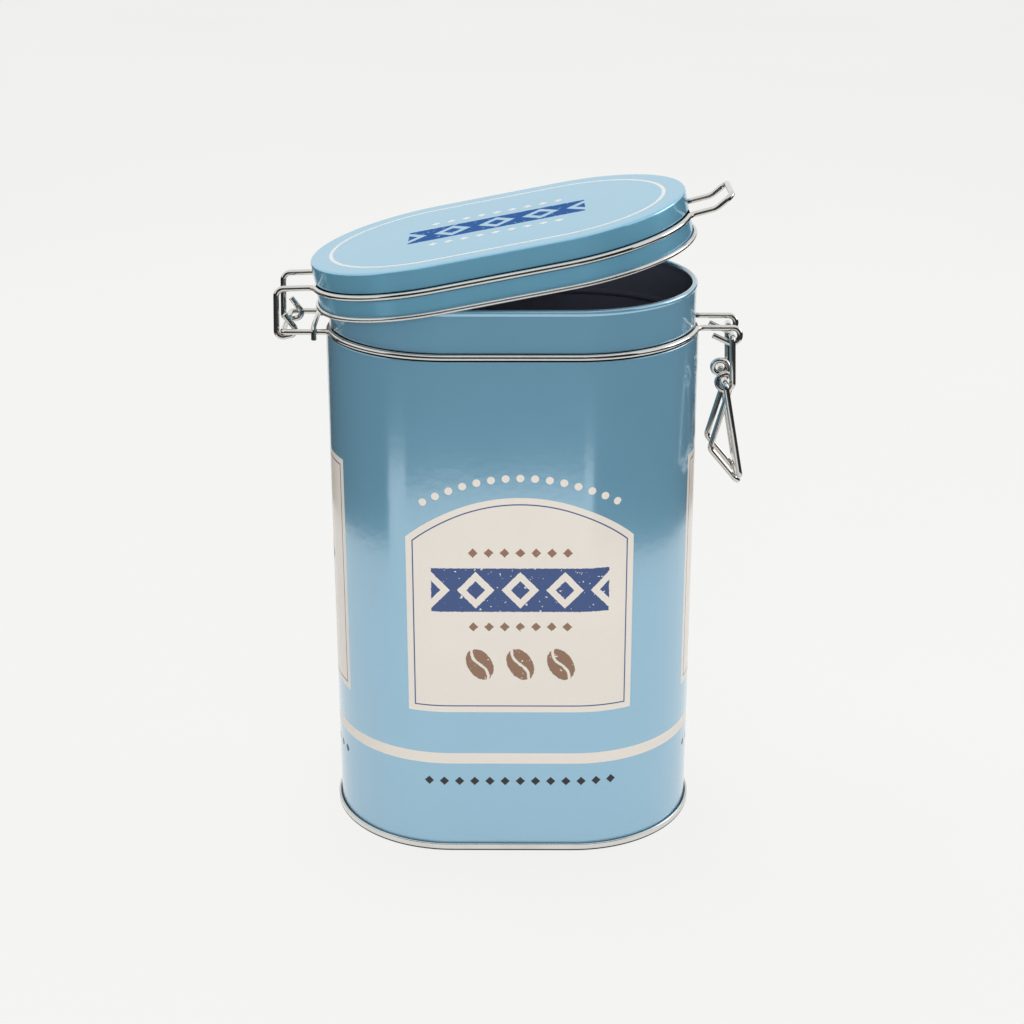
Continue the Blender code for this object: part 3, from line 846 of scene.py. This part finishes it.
def body_shell(print_finish, inner_finish):
    """The printed wall with its wire groove, neck and curled lip."""
    wall = -HALF_SHEET
    neck = -NECK_STEP - HALF_SHEET
    edge = 2 * SHEET + FIT_GAP
    lip_radius = LIP_DIAMETER / 2 - HALF_SHEET
    lip = (LIP_FACE - LIP_DIAMETER / 2, RIM_HEIGHT - LIP_DIAMETER / 2)
    fillet_x = neck + LIP_FILLET
    fillet_z = lip[1] - sqrt((lip_radius + LIP_FILLET) ** 2 - (fillet_x - lip[0]) ** 2)
    fillet_end = atan2(lip[1] - fillet_z, lip[0] - fillet_x)
    path = [(wall, edge)]
    path += groove((BODY_WIRE_OFFSET, BODY_WIRE_HEIGHT), wall, neck)
    path += arc((fillet_x, fillet_z), LIP_FILLET, pi, fillet_end)
    path += arc(lip, lip_radius, fillet_end - pi, LIP_END_ANGLE)[1:]
    inside, outside = sheet_sides(supported(path))
    return pressing("body", [(1, inside), (0, outside[::-1])], [print_finish, inner_finish], True)


def base_plate(finish):
    """The bottom panel, and the seam round its foot."""
    chuck_inside = -2 * SHEET - FIT_GAP
    chuck_outside = chuck_inside + SHEET
    channel_floor = 2 * SHEET
    seam_radius = (SEAM_PROUD - FIT_GAP) / 2
    outer_radius = PANEL_CORNER_RADIUS
    inner_radius = PANEL_CORNER_RADIUS - SHEET
    underside = PANEL_HEIGHT - SHEET
    step_in = -PANEL_STEP_INSET - PANEL_STEP_WIDTH
    settle = step_in - SUPPORT_INSET
    section = [(settle, PANEL_HEIGHT + PANEL_STEP), (step_in, PANEL_HEIGHT + PANEL_STEP)]
    section += [(-PANEL_STEP_INSET, PANEL_HEIGHT)]
    section += arc((chuck_outside - outer_radius, PANEL_HEIGHT - outer_radius), outer_radius, pi / 2, 0)
    section += [(chuck_outside, channel_floor), (FIT_GAP, channel_floor)]
    section += arc((FIT_GAP + seam_radius, SEAM_HEIGHT - seam_radius), seam_radius, pi, 0)
    section += arc((SEAM_PROUD - SEAM_EDGE_RADIUS, SEAM_EDGE_RADIUS), SEAM_EDGE_RADIUS, 0, -pi / 2)
    section += arc((chuck_inside + SHEET, SHEET), SHEET, 3 * pi / 2, pi)
    section += arc((chuck_inside - inner_radius, underside - inner_radius), inner_radius, 0, pi / 2)
    section += [(-PANEL_STEP_INSET, underside), (step_in, underside + PANEL_STEP)]
    section += [(settle, underside + PANEL_STEP)]
    return pressing("base", [(0, supported(section))], [finish], False)


def lid_shell(print_finish, inner_finish, placing):
    """The lid's curled hem, skirt, wire groove and roof."""
    skirt = LID_SKIRT_PROUD - HALF_SHEET
    wall = LID_WALL_PROUD - HALF_SHEET
    hem_radius = HEM_DIAMETER / 2 - HALF_SHEET
    hem = (skirt + hem_radius, HEM_HEIGHT + HEM_DIAMETER / 2)
    shoulder_radius = LID_SHOULDER_RADIUS - HALF_SHEET
    shoulder = (wall - shoulder_radius, ROOF_HEIGHT - LID_SHOULDER_RADIUS)
    path = arc(hem, hem_radius, HEM_END_ANGLE, pi)
    path += groove((LID_WIRE_OFFSET, LID_WIRE_HEIGHT), skirt, wall)
    path += arc(shoulder, shoulder_radius, 0, pi / 2)
    path += [(path[-1][0] - 2 * SUPPORT_INSET, path[-1][1])]
    inside, outside = sheet_sides(supported(path))
    faces = [(1, inside[::-1]), (0, outside)]
    return pressing("lid", faces, [print_finish, inner_finish], False, placing, flat_print=True)


def lid_gasket(finish, placing):
    """The ring under the lid's roof, just above the rim when the lid is closed."""
    top = ROOF_HEIGHT - SHEET - FIT_GAP
    bottom = RIM_HEIGHT + FIT_GAP
    outside = LID_WALL_PROUD - SHEET - FIT_GAP
    inside = outside - GASKET_WIDTH
    radius = GASKET_CORNER_RADIUS
    section = []
    for x, z, start in (
        (outside - radius, top - radius, 0),
        (inside + radius, top - radius, pi / 2),
        (inside + radius, bottom + radius, pi),
        (outside - radius, bottom + radius, 3 * pi / 2),
    ):
        section += arc((x, z), radius, start, start + pi / 2)
    return pressing("gasket", [(0, supported(section))], [finish], True, placing)


def body_wire(finish):
    """The band round the body, with its eyes at the latch and its rods at the hinge."""
    eye_x = LEVER_PIVOT.x
    eye = arc((eye_x, EYE_Z), EYE_RADIUS, -pi / 2 - EYE_TAIL_ANGLE, pi / 2, WIRE_ARC_STEP)
    tail_x = eye[0][0] - EYE_TAIL * cos(EYE_TAIL_ANGLE)
    tail_z = eye[0][1] + EYE_TAIL * sin(EYE_TAIL_ANGLE)
    half = [(Vector((x, -EYE_Y, z)), 0) for x, z in [(tail_x, tail_z)] + eye]
    half += half_band(BODY_WIRE_OFFSET, BODY_WIRE_HEIGHT, EYE_Y, ROD_Y)
    half.append((HINGE - Vector((0, ROD_Y, 0)), HINGE_CORNER_RADIUS))
    return wire("band", half + other_side(half), WIRE_DIAMETER, finish)


def hinge_tie(finish):
    """The short wire over the two hinge rods, bent down at both ends."""
    x = -BODY_LENGTH / 2 - TIE_REACH
    hold = WIRE_RADIUS + FIT_GAP + TIE_DIAMETER / 2
    end = Vector((x, -ROD_Y - hold, BODY_WIRE_HEIGHT - TIE_LEG))
    corner = Vector((x, -ROD_Y - hold, BODY_WIRE_HEIGHT + hold))
    half = [(end, 0), (corner, hold)]
    return wire("tie", half + other_side(half), TIE_DIAMETER, finish)


def lid_wire(finish, placing):
    """The band round the lid, with its ear at the latch and its hooks at the hinge."""
    band = half_band(LID_WIRE_OFFSET, LID_WIRE_HEIGHT, EAR_Y, HOOK_Y)
    ear_foot = band[0][0]
    ear_bend = ear_foot + EAR_LEG * Vector((cos(EAR_LEG_ANGLE), 0, sin(EAR_LEG_ANGLE)))
    ear_tip = ear_bend + EAR_TIP * Vector((cos(EAR_TIP_ANGLE), 0, sin(EAR_TIP_ANGLE)))
    seat = WIRE_DIAMETER + HOOK_CLEARANCE
    down = Vector((-sin(HOOK_LEAN), 0, -cos(HOOK_LEAN)))
    beside = HINGE + Vector((-seat / cos(HOOK_LEAN), -HOOK_Y, 0))
    shoulder_height = LID_WIRE_HEIGHT + HOOK_RISE - HINGE.z
    shoulder = beside + down * shoulder_height / down.z
    corner = beside - down * seat / down.z
    heel = corner + Vector((HOOK_WIDTH, 0, 0))
    tail = heel + HOOK_TAIL * Vector((-sin(HOOK_TAIL_ANGLE), 0, cos(HOOK_TAIL_ANGLE)))
    half = [(ear_tip, EAR_CORNER_RADIUS), (ear_bend, EAR_BEND_RADIUS)] + band
    half += [(shoulder, HOOK_SHOULDER_RADIUS), (corner, HOOK_CORNER_RADIUS)]
    half += [(heel, HOOK_CORNER_RADIUS), (tail, 0)]
    return wire("lid_band", other_side(half) + half, WIRE_DIAMETER, finish, placing)


def handle_points():
    """The front bend and the front tip corner of the lever's handle, in the lever's frame."""
    angle = LEVER_HANDLE_ANGLE
    start = COIL_CENTRE + LEVER_COIL_RADIUS * Vector((cos(angle), 0, -sin(angle)))
    start.y = -HANDLE_Y
    bend_point = start + LEVER_HANDLE * Vector((-sin(angle), 0, -cos(angle)))
    tip = bend_point + LEVER_TIP * Vector((sin(LEVER_TIP_ANGLE), 0, -cos(LEVER_TIP_ANGLE)))
    return bend_point, tip


def latch_lever(finish, placing):
    """The lever's pins, bars, coils and handle, as one wire."""
    pin_end = Vector((0, -EYE_Y + WIRE_RADIUS + PIN_OVERHANG, 0))
    half = [(pin_end, 0), (Vector((0, -LEVER_Y, 0)), PIN_BEND_RADIUS)]
    steps = ceil(COIL_SWEEP / WIRE_ARC_STEP)
    for step in range(steps + 1):
        angle = COIL_SWEEP * step / steps
        y = -LEVER_Y + (LEVER_Y - HANDLE_Y) * step / steps
        x = COIL_CENTRE.x + LEVER_COIL_RADIUS * cos(angle)
        z = COIL_CENTRE.z - LEVER_COIL_RADIUS * sin(angle)
        half.append((Vector((x, y, z)), 0))
    bend_point, tip = handle_points()
    half += [(bend_point, LEVER_BEND_RADIUS), (tip, LEVER_CORNER_RADIUS)]
    return wire("lever_clip", half + other_side(half), WIRE_DIAMETER, finish, placing)


def bail_rest_angle():
    """The angle from the lever's bars at which the bail's cross bar lies on the handle's tip."""
    bend_point, tip = handle_points()
    run = (tip - bend_point).normalized()
    to_coil = COIL_CENTRE - bend_point
    coil_height = to_coil.x * -run.z + to_coil.z * run.x
    drop = coil_height - WIRE_DIAMETER - FIT_GAP
    return acos(drop / BAIL_LENGTH) - atan2(-run.z, run.x)


def latch_bail(finish, placing):
    """The bail's pins, legs and cross bar, as one wire."""
    pin_end = Vector((0, -HANDLE_Y + WIRE_RADIUS + PIN_OVERHANG, 0))
    half = [(pin_end, 0), (Vector((0, -BAIL_Y, 0)), PIN_BEND_RADIUS)]
    half.append((Vector((0, -BAIL_Y, -BAIL_LENGTH)), BAIL_CORNER_RADIUS))
    return wire("bail_clip", half + other_side(half), WIRE_DIAMETER, finish, placing)


def turned(pivot, angle):
    """The frame of a pivot along Y, turned by an angle that lifts its +X side."""
    return Matrix.Translation(pivot) @ Matrix.Rotation(-angle, 4, "Y")


def build_pieces():
    """Makes the nine pieces, hides the CAD node each one stands in for and puts it under its body.  The
    table's material slot is not used.
    """
    body_finish = body_print()
    lid_finish = lid_print()
    inner_finish = inside_lacquer()
    tin_finish = bare_metal("bare_tinplate", TINPLATE, TIN_ROUGHNESS, TIN_BRUSHED)
    foot_finish = bare_metal("bare_foot", TINPLATE, TIN_ROUGHNESS, TIN_BRUSHED, foot=True)
    chrome_finish = bare_metal("bright_wire", CHROME, CHROME_ROUGHNESS, CHROME_BRUSHED)
    rubber = silicone()
    lid_place = turned(HINGE, LID_AJAR_ANGLE)
    closed_lid = lid_place @ Matrix.Translation(-HINGE)
    lever_place = turned(LEVER_PIVOT, LEVER_HANG_ANGLE)
    bail_place = lever_place @ turned(COIL_CENTRE, bail_rest_angle())
    made = (
        (body_shell(body_finish, inner_finish), "body_shell", "root", "printed_body"),
        (base_plate(foot_finish), "base_plate", "root", "bare_tinplate"),
        (body_wire(chrome_finish), "body_wire", "root", "bright_wire"),
        (hinge_tie(chrome_finish), "hinge_tie", "root", "bright_wire"),
        (lid_shell(lid_finish, tin_finish, closed_lid), "lid_shell", "lid", "printed_lid"),
        (lid_gasket(rubber, closed_lid), "lid_gasket", "lid", "silicone"),
        (lid_wire(chrome_finish, closed_lid), "lid_wire", "lid", "bright_wire"),
        (latch_lever(chrome_finish, lever_place), "latch_lever", "lever", "bright_wire"),
        (latch_bail(chrome_finish, bail_place), "latch_bail", "bail", "bright_wire"),
    )
    for item, node, body, slot in made:
        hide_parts(node)
        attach(item, body)


# The studio, with the camera's angles in radians and its lens and sensor in millimetres

CAMERA_SPOT = Vector((0.004448, -0.59603, 0.33550))
CAMERA_PITCH = 0.3749
CAMERA_YAW = -0.0078
CAMERA_ROLL = -0.0015
CAMERA_LENS = 70.34
SENSOR = 36.0
CAMERA_NEAR = 0.01
FLOOR_HALF = 40.0
PAPER_ROUGHNESS = 0.9
PAPER_DARKER = 3
SHOWN_SHARE = 0.86

# How strong the sky is where it lights the tin, where the camera sees it and where it is mirrored
DIFFUSE_SKY = 0.45
SHOWN_SKY = 0.92
MIRRORED_SKY = 1.0

# The dim room's stretches: first and last angle from the front in degrees, distance and height
ROOM_SECTORS = (
    (-150, -58, 0.29, 0.25), (-58, -42, 0.41, 1.1), (-42, 12, 0.365, 1.1), (12, 20, 0.40, 1.1),
    (20, 58, 0.285, 1.1), (58, 150, 0.285, 0.25),
)
# Its low floor, as how far beyond that distance and how high, and how far beyond it the wall's top is
ROOM_FOOT = ((0, 0.004), (0.55, 0.02))
ROOM_WALL = 0.75
ROOM_STEP = radians(3)
ROOM_COLOUR = (30, 28, 28)
ROOM_DARKER = (20, 20, 22)

# The lamps: name, place, what it points at, width and height, watts, and whether the tin mirrors it
LAMPS = (
    ("top", (-0.25, 0.25, 1.2), (0, 0, 0.1), (1.0, 1.0), 5, False),
    ("front", (0.10, -1.20, 0.50), (0, 0, 0.1), (1.2, 0.7), 5.5, True),
    ("side", (0.85, 0.25, 0.42), (0.03, 0, 0.16), (0.5, 0.4), 1.5, True),
)


def studio_surface(name):
    """Pale paper that keeps a soft shadow and otherwise shows as an even tone."""
    finish = Finish(name)
    grain = finish.grain(*PAPER_GRAIN)
    tone = finish.paint(screen(STUDIO), screen([value - PAPER_DARKER for value in STUDIO]), grain)
    finish.set(Base_Color=tone, Roughness=PAPER_ROUGHNESS)
    glow = finish.node("ShaderNodeEmission")
    finish.put(glow.inputs["Color"], tone)
    rays = finish.node("ShaderNodeLightPath").outputs
    seen = finish.most(rays["Is Camera Ray"], rays["Is Glossy Ray"], rays["Is Transmission Ray"])
    mixed = finish.node("ShaderNodeMixShader")
    finish.put(mixed.inputs[0], finish.sum("MULTIPLY", seen, SHOWN_SHARE))
    finish.put(mixed.inputs[1], finish.shader.outputs[0])
    finish.put(mixed.inputs[2], glow.outputs[0])
    output = finish.tree.nodes["Material Output"]
    finish.put(output.inputs["Surface"], mixed.outputs[0])
    return finish.material


def build_floor():
    mesh = bpy.data.meshes.new("floor")
    corners = [(-FLOOR_HALF, -FLOOR_HALF, 0), (FLOOR_HALF, -FLOOR_HALF, 0)]
    corners += [(FLOOR_HALF, FLOOR_HALF, 0), (-FLOOR_HALF, FLOOR_HALF, 0)]
    mesh.from_pydata(corners, [], [(0, 1, 2, 3)])
    piece("floor", mesh, [studio_surface("paper")])


def build_room():
    """The dim room at the front and sides.  Only reflections show it, never the camera."""
    dark = Finish("dim_room")
    tone = dark.paint(screen(ROOM_COLOUR), screen(ROOM_DARKER), dark.grain(*ROOM_GRAIN))
    dark.set(Base_Color=tone, Roughness=PAPER_ROUGHNESS)
    for number, (first, last, reach, height) in enumerate(ROOM_SECTORS):
        profile = (*ROOM_FOOT, (ROOM_WALL, height))
        steps = ceil(radians(last - first) / ROOM_STEP)
        angles = [radians(first) + radians(last - first) * step / steps for step in range(steps + 1)]
        spots = [(reach + out, z, angle) for out, z in profile for angle in angles]
        points = [(radius * sin(angle), -radius * cos(angle), z) for radius, z, angle in spots]
        polygons = []
        for row in range(len(profile) - 1):
            for step in range(steps):
                low = row * (steps + 1) + step
                polygons.append((low, low + 1, low + steps + 2, low + steps + 1))
        mesh = bpy.data.meshes.new(f"room_{number}")
        mesh.from_pydata(points, [], polygons)
        wall = piece(f"room_{number}", mesh, [dark.material])
        wall.visible_camera = False
        wall.visible_shadow = False
        wall.visible_diffuse = False


def build_lamp(name, spot, target, size, watts, mirrored):
    """A soft box.  One that isn't mirrored lights the tin and doesn't show in its lacquer."""
    lamp = bpy.data.lights.new(name, "AREA")
    lamp.shape = "RECTANGLE"
    lamp.size, lamp.size_y = size
    lamp.energy = watts
    item = bpy.data.objects.new(name, lamp)
    item.location = spot
    item.rotation_mode = "QUATERNION"
    item.rotation_quaternion = (Vector(target) - Vector(spot)).to_track_quat("-Z", "Y")
    item.visible_glossy = mirrored
    bpy.context.scene.collection.objects.link(item)


def build_world():
    """A pale sky, which shows brighter than it lights."""
    world = bpy.data.worlds.new("studio")
    bpy.context.scene.world = world
    world.use_nodes = True
    tree = world.node_tree
    ground = tree.nodes["Background"]
    ground.inputs["Color"].default_value = screen(STUDIO)
    rays = tree.nodes.new("ShaderNodeLightPath").outputs
    shown = tree.nodes.new("ShaderNodeMix")
    mirrored = tree.nodes.new("ShaderNodeMix")
    shown.inputs[2].default_value = DIFFUSE_SKY
    shown.inputs[3].default_value = SHOWN_SKY
    mirrored.inputs[3].default_value = MIRRORED_SKY
    tree.links.new(rays["Is Camera Ray"], shown.inputs[0])
    tree.links.new(rays["Is Glossy Ray"], mirrored.inputs[0])
    tree.links.new(shown.outputs[0], mirrored.inputs[2])
    tree.links.new(mirrored.outputs[0], ground.inputs["Strength"])


def build_camera():
    data = bpy.data.cameras.new("camera")
    data.lens = CAMERA_LENS
    data.sensor_width = SENSOR
    data.clip_start = CAMERA_NEAR
    item = bpy.data.objects.new("camera", data)
    aim = Matrix.Rotation(-CAMERA_YAW, 4, "Z") @ Matrix.Rotation(pi / 2 - CAMERA_PITCH, 4, "X")
    item.matrix_world = Matrix.Translation(CAMERA_SPOT) @ aim @ Matrix.Rotation(CAMERA_ROLL, 4, "Z")
    bpy.context.scene.collection.objects.link(item)
    bpy.context.scene.camera = item


build_pieces()
build_floor()
build_room()
build_world()
for settings in LAMPS:
    build_lamp(*settings)
build_camera()
bpy.context.scene.view_settings.view_transform = "Standard"
